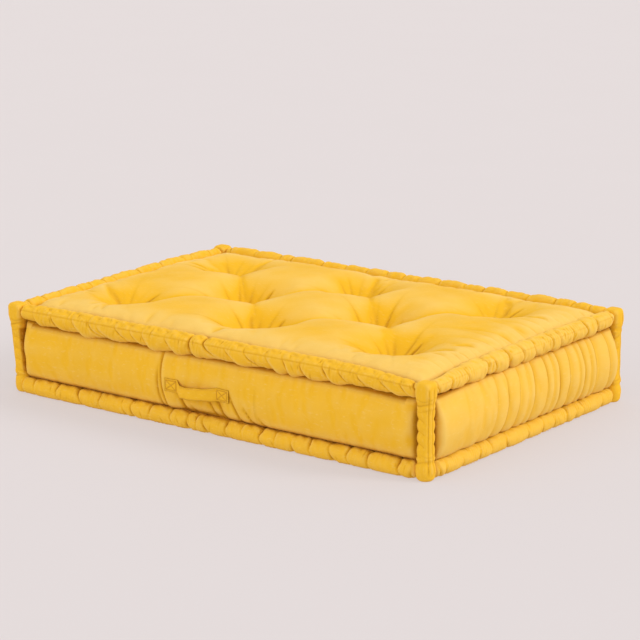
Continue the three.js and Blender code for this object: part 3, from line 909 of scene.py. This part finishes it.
def roll_frame(name):
    """Axis, outward direction and half length of a lying roll, by its name."""
    side = name.split("_")[-1]
    outward = {"front": (0, -1, 0), "back": (0, 1, 0), "right": (1, 0, 0), "left": (-1, 0, 0)}
    if side in ("front", "back"):
        return np.array([1, 0, 0]), np.array(outward[side]), ROLL_END
    return np.array([0, 1, 0]), np.array(outward[side]), ROLL_END_Y


def on_roll(name, s, turn, radius):
    """Points at a place, a turn and a radius of a lying roll."""
    along, outward, half = roll_frame(name)
    reach = ROLL_Y if half == ROLL_END else ROLL_X
    centre = s[:, None] * along + outward * reach
    if name.startswith("top"):
        height = roll_height(centre[:, 0], centre[:, 1])
    else:
        height = np.full(len(s), float(ROLL_LOW))
    centre = centre + height[:, None] * [0, 0, 1]
    arm = np.cos(turn)[:, None] * outward + np.sin(turn)[:, None] * [0, 0, 1]
    return centre + radius[:, None] * arm


def make_lying_roll(name, seed):
    _, outward, half = roll_frame(name)
    cuts = LONG_CUTS if half == ROLL_END else SHORT_CUTS
    piece = cut_tube(name.replace("roll", "rolled_edge"), cuts)
    unit = read_points(piece.data)
    s, turn = unit[:, 2] * half, np.arctan2(unit[:, 1], unit[:, 0])
    middle = np.hypot(unit[:, 0], unit[:, 1]) < 0.5
    inward = half - np.abs(s)
    closing = np.sqrt(np.clip(1 - (1 - np.clip(inward / 12, 0.02, 1)) ** 2, 0, 1))
    radius, dark = roll_shape(name, s, turn)
    radius *= closing
    radius[middle] = 0
    points = on_roll(name, s, turn, radius)
    points += ripples(points, seed + 50, 10, 60, 0.35)[:, None] * outward
    finish_piece(piece, points, 9, dark, [s, turn * ROLL_R], ROLL_TURN_LENGTH)
    return piece


def turn_between(first, second):
    return np.abs((first - second + np.pi) % math.tau - np.pi)


def upright_outline(top):
    """Heights and radii up an upright roll, and how far along its outline each one is."""
    outline = [(ROLL_LOW + rise, r) for rise, r in FOOT]
    outline += [(top + drop, r) for drop, r in NECK + HEAD_TOP]
    heights, radii = np.array(outline, float).T
    run = np.concatenate([[0], np.cumsum(np.hypot(np.diff(heights), np.diff(radii)))])
    return heights, radii, run


def make_upright(corner, seed):
    side_x, side_y = corner.split("_")
    x = ROLL_X if side_x == "right" else -ROLL_X
    y = ROLL_Y if side_y == "back" else -ROLL_Y
    top, diagonal = roll_height(x, y), math.atan2(y, x)
    heights, radii, run = upright_outline(top)
    piece = cut_tube("corner_rolled_edge_" + corner, UPRIGHT_CUTS)
    unit = read_points(piece.data)
    place = (unit[:, 2] + 1) / 2 * run[-1]
    middle = np.hypot(unit[:, 0], unit[:, 1]) < 0.5
    turn = np.arctan2(unit[:, 1], unit[:, 0])
    z = np.interp(place, run, heights)
    radius = sum(np.interp(place + step, run, radii) for step in (-3, -1.5, 0, 1.5, 3)) / 5
    radius = np.where((place < 1) | (place > run[-1] - 1), 1.2, radius)
    shaft = smooth((z - ROLL_LOW - 26) / 10) * smooth((top - 36 - z) / 8)
    ridge = diagonal + RIDGE_TURN * (1 if side_x == "right" else -1)
    from_ridge = turn_between(turn, ridge)
    wave = (z - ROLL_LOW - 30 + 5 * np.cos(turn * 2 + seed)) / SCALLOP_PITCH
    flank = smooth((from_ridge - 0.5) / 0.6)
    radius += shaft * flank * SCALLOP * (np.abs(np.sin(np.pi * wave)) ** 0.8 - 0.6)
    body = smooth((z - 10) / 12) * smooth((top + 10 - z) / 10)
    square = 0.6 * smooth((z - ROLL_LOW - 20) / 8) + 0.4 * smooth((z - top + 16) / 6)
    boxed = 0.93 / (np.abs(np.cos(turn)) ** 4.5 + np.abs(np.sin(turn)) ** 4.5) ** (1 / 4.5)
    radius *= 1 + square * (boxed - 1)
    radius += body * (1.3 * bell(from_ridge, 0.16) - 1.2 * bell(from_ridge - 0.36, 0.14))
    radius[middle] = 0
    points = np.column_stack([x + radius * np.cos(turn), y + radius * np.sin(turn), z])
    if corner == "left_front":
        points[:, :2] += smooth(1 - z / top)[:, None] * FOOT_LEAN
    outward = [math.cos(diagonal), math.sin(diagonal)]
    points[:, :2] += (ripples(points, seed + 80, 8, 50, 0.4) * ~middle)[:, None] * outward
    # Painted shade beside the sewn ridge, along the folds round the neck and foot, and on the
    # inner side that faces the block.
    dark = body * 0.6 * bell(from_ridge - 0.36, 0.07)
    for fold, full in [(top - 28, 0.9), (top - 17, 0.35), (top - 41, 0.3), (ROLL_LOW + 23, 0.9),
                       (ROLL_LOW + 38, 0.4)]:
        line = bell(z - fold - 3 * np.sin(turn * 2 + fold), 1.5)
        dark = np.maximum(dark, full * (0.5 + 0.5 * np.cos(turn + fold)) * line)
    inner = math.pi - turn_between(turn, diagonal)
    dark = np.maximum(dark, shaft * 0.9 * smooth((1.6 - inner) / 0.3))
    finish_piece(piece, points, 6, dark, [place, turn * ROLL_R], ROLL_TURN_LENGTH)
    return piece


# ---- Handle ----
HANDLE_X, HANDLE_Z = -22, 98
HANDLE_LENGTH, HANDLE_WIDTH, HANDLE_THICK = 180, 30, 3
PATCH = 34
HANDLE_ARCH, HANDLE_SAG = 14, 11
SEWN_OUTER, SEWN_INNER, SEWN_HALF = HANDLE_LENGTH / 2 - 4, HANDLE_LENGTH / 2 - PATCH + 2, 11


def panel_reach(block, x, z):
    """How far forward the front of the block stands at points of its face."""
    points = read_points(block.data) / MM
    front = points[(points[:, 1] < -340) & (np.abs(points[:, 0] - HANDLE_X) < 130)]
    reach = np.empty(len(x))
    for i, (px, pz) in enumerate(zip(x, z)):
        away = np.hypot(front[:, 0] - px, front[:, 2] - pz)
        nearest = np.argpartition(away, 6)[:6]
        reach[i] = front[nearest, 1].mean()
    return reach


def handle_line(block):
    """Places along the handle, from -1 to 1, with its back and its sag at each."""
    along = np.linspace(-1, 1, 91)
    half, span = HANDLE_LENGTH / 2, HANDLE_LENGTH - 2 * PATCH
    loose = np.clip((half - PATCH - np.abs(along) * half) / 56, 0, 1)
    panel = panel_reach(block, HANDLE_X + along * half, np.full(91, float(HANDLE_Z)))
    blurred = np.convolve(np.pad(panel, 8, mode="edge"), np.ones(17) / 17, mode="valid")
    arch = HANDLE_ARCH * (1 - (1 - loose) ** 2) ** 0.9
    share = np.clip((along * half + half - PATCH) / span, 0, 1)
    return along, blurred - 0.8 - arch, HANDLE_SAG * (1 - share) ** 0.8 * smooth(share / 0.12)


def box_and_cross(outer, inner, low, high):
    """Ends of the six sewn lines of a box with its cross."""
    return [((outer, low), (inner, low)), ((outer, high), (inner, high)),
            ((outer, low), (outer, high)), ((inner, low), (inner, high)),
            ((outer, low), (inner, high)), ((outer, high), (inner, low))]


def sewn_lines(along, across):
    """1 on the lines of the box and cross that are sewn into each end of the handle."""
    marked = np.zeros_like(along)
    for ends in box_and_cross(SEWN_OUTER, SEWN_INNER, -SEWN_HALF, SEWN_HALF):
        away, _ = to_segment(np.abs(along), across, *ends)
        marked = np.maximum(marked, bell(away, 1.1))
    return marked


def make_handle(block):
    piece = cut_box("folded_handle", ((10, 12), (2,), (20,)))
    unit = read_points(piece.data)
    along, across, deep = unit[:, 0], unit[:, 2], unit[:, 1]
    places, backs, sags = handle_line(block)
    back, sag = np.interp(along, places, backs), np.interp(along, places, sags)
    rim = np.clip(1 - np.abs(across) ** 8, 0, 1) ** 0.5
    rim *= np.clip(1 - np.abs(along) ** 60, 0, 1) ** 0.5
    thick = HANDLE_THICK * (0.25 + 0.75 * rim)
    hem = bell(np.abs(across) - 0.78, 0.05)
    patch = smooth((np.abs(along) * HANDLE_LENGTH / 2 - HANDLE_LENGTH / 2 + PATCH) / 4)
    sewn = sewn_lines(along * HANDLE_LENGTH / 2, across * HANDLE_WIDTH / 2)
    waves = 0.5 * np.sin(along * 19) * np.sin(across * 3) * (1 - patch)
    front = thick - 0.5 * hem + 0.5 * patch + waves - 0.7 * sewn
    middle = back - HANDLE_THICK / 2
    y = middle - np.where(deep < 0, front - HANDLE_THICK / 2, 0) + np.where(deep > 0, thick / 2, 0)
    y = np.where(np.abs(deep) < 0.5, middle - 0.2 * front, y)
    x = HANDLE_X + along * HANDLE_LENGTH / 2
    width = HANDLE_WIDTH / 2 * (1 - 0.05 * smooth(sag / 5))
    z = HANDLE_Z - sag + across * width + 0.5 * np.sin(along * 11 + across)
    edge = np.maximum(smooth((np.abs(across) - 0.93) / 0.05),
                      smooth((np.abs(along) - 0.985) / 0.01))
    # Painted shade along the sewn lines and at the turned edges of the strap.
    dark = np.maximum(0.7 * sewn, 0.6 * edge)
    finish_piece(piece, np.column_stack([x, y, z]), 3, dark, [x, z])
    return piece


# ---- Stitches ----
THREAD_GAP = 10  # between the threads of a row while they are told apart


def make_stitches(name, places, length, thick):
    """Short threads, one at each (middle, direction) of the list."""
    piece = new_piece(name, bpy.ops.mesh.primitive_uv_sphere_add, segments=8, ring_count=6,
                      radius=1)
    repeat = piece.modifiers.new("row", "ARRAY")
    repeat.count = len(places)
    repeat.use_relative_offset, repeat.use_constant_offset = False, True
    repeat.constant_offset_displace = (THREAD_GAP, 0, 0)
    apply_modifiers(piece)
    mesh = piece.data
    unit = read_points(mesh)
    which = np.rint(unit[:, 0] / THREAD_GAP).astype(int)
    unit[:, 0] -= which * THREAD_GAP
    middles = np.array([middle for middle, _ in places])
    directions = np.array([direction for _, direction in places], float)
    directions /= np.linalg.norm(directions, axis=1)[:, None]
    helper = np.where(np.abs(directions[:, 2:]) > 0.9, [[1.0, 0, 0]], [[0, 0, 1.0]])
    side = np.cross(directions, helper)
    side /= np.linalg.norm(side, axis=1)[:, None]
    upper = np.cross(side, directions)
    points = (middles[which] + directions[which] * (unit[:, 2:] * length / 2)
              + side[which] * (unit[:, :1] * thick / 2)
              + upper[which] * (unit[:, 1:2] * thick / 2))
    points[:, 2] = np.maximum(points[:, 2], 0)
    write_points(mesh, points * MM)
    face_outwards(piece)
    smooth_shaded(piece)
    return piece


def roll_stitches(name):
    """Threads that lie in the groove of a lying roll."""
    along, _, half = roll_frame(name)
    s = np.arange(-half + 20, half - 20, STITCH_PITCH) + STITCH_PITCH / 2
    turn = np.full(len(s), stitch_turn(name))
    radius = roll_shape(name, s, turn)[0] + 0.3
    return [(point, along) for point in on_roll(name, s, turn, radius)]


def handle_stitches(block):
    """Threads round each sewn end of the handle and along its two hems."""
    alongs, backs, sags = handle_line(block)
    places = []

    def run(start, end):
        (x0, z0), (x1, z1) = start, end
        count = max(2, round(math.hypot(x1 - x0, z1 - z0) / 4))
        for i in range(count):
            share = (i + 0.5) / count
            x, z = x0 + (x1 - x0) * share, z0 + (z1 - z0) * share
            along = (x - HANDLE_X) / (HANDLE_LENGTH / 2)
            y, ahead = np.interp([along, along + 0.02], alongs, backs)
            z -= np.interp(along, alongs, sags)
            places.append(((x, y - HANDLE_THICK - 0.4, z),
                           (x1 - x0, (ahead - y) * (x1 - x0) / 1.8, z1 - z0)))

    for side in (-1, 1):
        for ends in box_and_cross(HANDLE_X + side * SEWN_OUTER, HANDLE_X + side * SEWN_INNER,
                                  HANDLE_Z - SEWN_HALF, HANDLE_Z + SEWN_HALF):
            run(*ends)
    half = HANDLE_LENGTH / 2 - PATCH
    for z in (HANDLE_Z - 11.5, HANDLE_Z + 11.5):
        run((HANDLE_X - half, z), (HANDLE_X + half, z))
    return places


def tuft_ties(block):
    """Two crossed threads at the bottom of each tuft."""
    points = read_points(block.data) / MM
    places = []
    for cx, cy in tuft_places():
        away = np.hypot(points[:, 0] - cx, points[:, 1] - cy)
        near = points[(away < 12) & (points[:, 2] > 60)]
        floor = near[:, 2].min() + 1.2
        for direction in ((1, 0.4, 0), (-0.3, 1, 0)):
            places.append(((cx, cy, floor), direction))
    return places


# ---- Materials ----
CLOTH = (0.81, 0.438, 0.014, 1)
# Painted shade: the colour put into creases and hollows, where less light falls.
CREASE_SHADE = (0.53, 0.225, 0.008, 1)
# Painted shade, the darkest, along drawn creases and where the cloth meets the rolls.
FOLD_SHADE = (0.40, 0.145, 0.001, 1)
# Painted highlight on crests and fold edges, and the paler colour of thick threads.
HIGHLIGHT_AND_SLUB = (0.82, 0.585, 0.20, 1)
THREAD = (0.55, 0.24, 0.008, 1)


def feed(tree, target, inputs):
    """Fills a node's inputs, each from a socket or a value."""
    for name, value in inputs.items():
        if isinstance(value, bpy.types.NodeSocket):
            tree.links.new(value, target.inputs[name])
        else:
            target.inputs[name].default_value = value


def node(tree, kind, inputs=(), **settings):
    made = tree.nodes.new("ShaderNode" + kind)
    for name, value in settings.items():
        setattr(made, name, value)
    feed(tree, made, dict(inputs))
    return made


def sums(tree, operation, *inputs, clamp=False):
    """A maths node for sockets and numbers."""
    return node(tree, "Math", enumerate(inputs), operation=operation, use_clamp=clamp).outputs[0]


def noise(tree, place, scale, detail, rough=0.5):
    return node(tree, "TexNoise", {"Vector": place, "Scale": scale, "Detail": detail,
                                   "Roughness": rough}).outputs["Fac"]


def ranged(tree, value, before=(0, 1), after=(0, 1)):
    """Turns one range of values into another."""
    ends = zip(("From Min", "From Max", "To Min", "To Max"), (*before, *after))
    return node(tree, "MapRange", {"Value": value, **dict(ends)}).outputs[0]


def stretched(tree, place, scale):
    return node(tree, "Mapping", {"Vector": place, "Scale": scale}).outputs[0]


def mix_colour(tree, factor, first, second):
    return node(tree, "Mix", {"Factor": factor, 6: first, 7: second}, data_type="RGBA").outputs[2]


def bumped(tree, height, strength, distance):
    return node(tree, "Bump", {"Height": height, "Strength": strength,
                               "Distance": distance}).outputs[0]


def dimmed(colour, share):
    return [channel * share for channel in colour[:3]] + [1]


def new_group(name, inputs, outputs):
    """A node group. Its first input is a place, and its other sockets are numbers."""
    tree = bpy.data.node_groups.new(name, "ShaderNodeTree")
    for index, label in enumerate(inputs):
        kind = "NodeSocketFloat" if index else "NodeSocketVector"
        tree.interface.new_socket(label, in_out="INPUT", socket_type=kind)
    for label in outputs:
        tree.interface.new_socket(label, in_out="OUTPUT", socket_type="NodeSocketFloat")
    return tree, tree.nodes.new("NodeGroupInput").outputs, tree.nodes.new("NodeGroupOutput")


def weave_group():
    """Plain weave: threads that cross over and under, with thicker ones here and there."""
    tree, given, made = new_group("plain weave", ["Place", "Threads per metre"],
                                  ["Height", "Thick thread"])
    scaled = node(tree, "VectorMath", {"Vector": given["Place"],
                                       "Scale": given["Threads per metre"]}, operation="SCALE")
    parts = node(tree, "SeparateXYZ", {"Vector": scaled.outputs[0]}).outputs
    across, along = (sums(tree, "SINE", sums(tree, "MULTIPLY", parts[axis], math.pi))
                     for axis in "XY")
    turn = sums(tree, "MULTIPLY_ADD", sums(tree, "MULTIPLY", across, along), 0.5, 0.5)
    over = sums(tree, "MULTIPLY", sums(tree, "ABSOLUTE", across), turn)
    under = sums(tree, "MULTIPLY", sums(tree, "ABSOLUTE", along), sums(tree, "SUBTRACT", 1, turn))
    slub = noise(tree, stretched(tree, given["Place"], (70, 260, 1)), 1, 2)
    feed(tree, made, {"Height": sums(tree, "ADD", over, under),
                      "Thick thread": ranged(tree, slub, (0.58, 0.74))})
    return tree


def shade_and_mottle_group():
    """Masks of painted shade where the cloth lies in a crease and of painted highlight where it
    lies on a crest, broken up by soft mottling.
    """
    tree, given, made = new_group(
        "creased cloth", ["Place", "Cavity", "Crease start", "Full crease"],
        ["Crease", "Crest", "Mottle", "Puckers"])
    cloud = noise(tree, given["Place"], 9, 4, 0.6)
    above_start = sums(tree, "SUBTRACT", given["Cavity"], given["Crease start"])
    ratio = sums(tree, "DIVIDE", above_start, given["Full crease"])
    broken = sums(tree, "MULTIPLY", ratio, sums(tree, "ADD", cloud, 0.5))
    feed(tree, made, {"Crease": sums(tree, "MULTIPLY", broken, 1, clamp=True),
                      "Crest": sums(tree, "SUBTRACT", -0.35, broken, clamp=True),
                      "Mottle": cloud, "Puckers": noise(tree, given["Place"], 70, 3, 0.55)})
    return tree


def new_material(name):
    material = bpy.data.materials.new(name)
    material.use_nodes = True
    tree = material.node_tree
    place = node(tree, "TexCoord").outputs["Object"]
    return material, tree, tree.nodes["Principled BSDF"], place


def cloth_material(name, weave, shade_and_mottle, crease, gather, gather_size):
    """Mustard cotton. crease is where the painted shade of a crease starts and its depth when
    full.
    gather sets how fine the puckers run along and across the UV map."""
    material, tree, shader, place = new_material(name)
    chart = node(tree, "UVMap", uv_map="cloth").outputs[0]
    cavity, hollow, drawn = (node(tree, "Attribute", attribute_name=label).outputs["Fac"]
                             for label in ("cavity", "hollow", "crease"))
    threads = node(tree, "Group", {"Place": chart, "Threads per metre": 900},
                   node_tree=weave).outputs
    shade_and_mottle_masks = node(tree, "Group", {"Place": place, "Cavity": cavity, "Crease start": crease[0],
                                "Full crease": crease[1]}, node_tree=shade_and_mottle).outputs
    colour = CLOTH
    for share, tint in [
            # Painted shade in broad hollows, from the hollow attribute.
            (ranged(tree, hollow, (0, 14), (0, 0.5)), CREASE_SHADE),
            # Painted highlight on broad crests, from the hollow attribute.
            (ranged(tree, hollow, (0.4, -4.6), (0, 0.6)), HIGHLIGHT_AND_SLUB),
            # Painted highlight on narrow crests, from the cavity.
            (sums(tree, "MULTIPLY", shade_and_mottle_masks["Crest"], 0.35), HIGHLIGHT_AND_SLUB),
            # Painted shade in narrow creases, from the cavity.
            (sums(tree, "MULTIPLY", shade_and_mottle_masks["Crease"], 0.6), CREASE_SHADE),
            # Painted shade from the crease attribute: creases, folds and where the cloth meets the
            # rolls.
            (sums(tree, "MULTIPLY", drawn, 0.95, clamp=True), FOLD_SHADE),
            # Painted highlight where the crease attribute is negative.
            (sums(tree, "MULTIPLY", drawn, -1, clamp=True), HIGHLIGHT_AND_SLUB),
            (ranged(tree, shade_and_mottle_masks["Mottle"], (0.3, 0.7), (0, 0.22)), dimmed(CLOTH, 0.8)),
            (sums(tree, "MULTIPLY", threads["Thick thread"], 0.22), HIGHLIGHT_AND_SLUB)]:
        colour = mix_colour(tree, share, colour, tint)
    gathers = noise(tree, stretched(tree, chart, (*gather, 1)), 1, 3)
    height = sums(tree, "MULTIPLY", threads["Height"], 0.12)
    for part, size in ((shade_and_mottle_masks["Puckers"], 0.6), (gathers, gather_size),
                       (threads["Thick thread"], 0.1)):
        height = sums(tree, "ADD", height, sums(tree, "MULTIPLY", part, size))
    feed(tree, shader, {
        "Base Color": colour, "Roughness": ranged(tree, threads["Height"], after=(0.78, 0.95)),
        "Specular IOR Level": 0.12, "Sheen Weight": 0.05, "Sheen Roughness": 0.45,
        "Sheen Tint": (1.0, 0.87, 0.5, 1), "Normal": bumped(tree, height, 1, 0.001)})
    return material


def thread_material():
    material, tree, shader, place = new_material("waxed thread")
    twist = noise(tree, place, 600, 2)
    feed(tree, shader, {"Base Color": mix_colour(tree, twist, THREAD, CLOTH),
                        "Roughness": ranged(tree, twist, after=(0.5, 0.75)),
                        "Normal": bumped(tree, twist, 0.6, 0.0004)})
    return material


# ---- Studio ----
FLOOR = (0.23, 0.2115, 0.2103, 1)
FLOOR_GLOW = 2.145  # softens the shadow, as in the photograph
SKY = (1.0, 0.985, 0.98, 1)
SKY_LOW, SKY_HIGH = 0.98, 0.91  # brightness at the horizon and overhead
# Lights: name, direction towards it, its spread in degrees and its power.
LIGHTS = [("key", (0.78, 0.36, 0.50), 20, 1.5), ("fill", (-0.2, -0.95, 0.2), 50, 0.9)]


def make_studio():
    floor = new_piece("floor", bpy.ops.mesh.primitive_plane_add, size=80, location=(0, 0, 0))
    material, tree, shader, place = new_material("studio floor")
    colour = mix_colour(tree, noise(tree, place, 3, 2), FLOOR, dimmed(FLOOR, 0.99))
    feed(tree, shader, {"Base Color": colour, "Emission Color": colour, "Roughness": 0.95,
                        "Emission Strength": FLOOR_GLOW, "Specular IOR Level": 0.1})
    floor.data.materials.append(material)

    scene = bpy.context.scene
    scene.world = scene.world or bpy.data.worlds.new("studio")
    scene.world.use_nodes = True
    sky = scene.world.node_tree
    towards = node(sky, "TexCoord").outputs["Generated"]
    height = node(sky, "SeparateXYZ", {"Vector": towards}).outputs["Z"]
    feed(sky, sky.nodes["Background"],
         {"Color": SKY, "Strength": ranged(sky, height, after=(SKY_LOW, SKY_HIGH))})
    for name, towards_light, spread, power in LIGHTS:
        data = bpy.data.lights.new(name, "SUN")
        data.angle, data.energy = math.radians(spread), power
        light = bpy.data.objects.new(name, data)
        light.rotation_euler = Vector(towards_light).to_track_quat("Z", "Y").to_euler()
        scene.collection.objects.link(light)
    scene.view_settings.view_transform = "Standard"


# ---- Whole pouf ----
def put(piece, material, nodes=()):
    piece.data.materials.clear()
    piece.data.materials.append(material)
    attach(piece, "root")
    if nodes:
        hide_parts(*nodes)


def main():
    for name in ("Cube", "Light", "Camera"):
        if name in bpy.data.objects:
            bpy.data.objects.remove(bpy.data.objects[name])
    set_camera()
    make_studio()
    weave, shade_and_mottle = weave_group(), shade_and_mottle_group()
    panel = cloth_material("mustard cotton", weave, shade_and_mottle, (0.2, 1.8), (40, 40), 0.3)
    rolled = cloth_material("gathered mustard cotton", weave, shade_and_mottle, (0.1, 1.2), (150, 26), 0.8)
    folded = cloth_material("folded mustard cotton", weave, shade_and_mottle, (0.1, 0.9), (60, 60), 0.2)
    thread = thread_material()

    block = make_block()
    put(block, panel, ["filled_block"])
    stitches = []
    for seed, name in enumerate(PINCHES):
        put(make_lying_roll(name, seed), rolled, [name])
        stitches += roll_stitches(name)
    for seed, corner in enumerate(CORNER_LIFT):
        put(make_upright(corner, seed), rolled, ["corner_roll_" + corner])
    put(make_stitches("edge_stitches", stitches, 7, 0.9), thread)
    put(make_handle(block), folded, ["handle_strap"])
    sewing = make_stitches("handle_stitches", handle_stitches(block), 3.4, 0.9)
    put(sewing, thread)
    put(make_stitches("tuft_ties", tuft_ties(block), 20, 2.2), thread)


main()
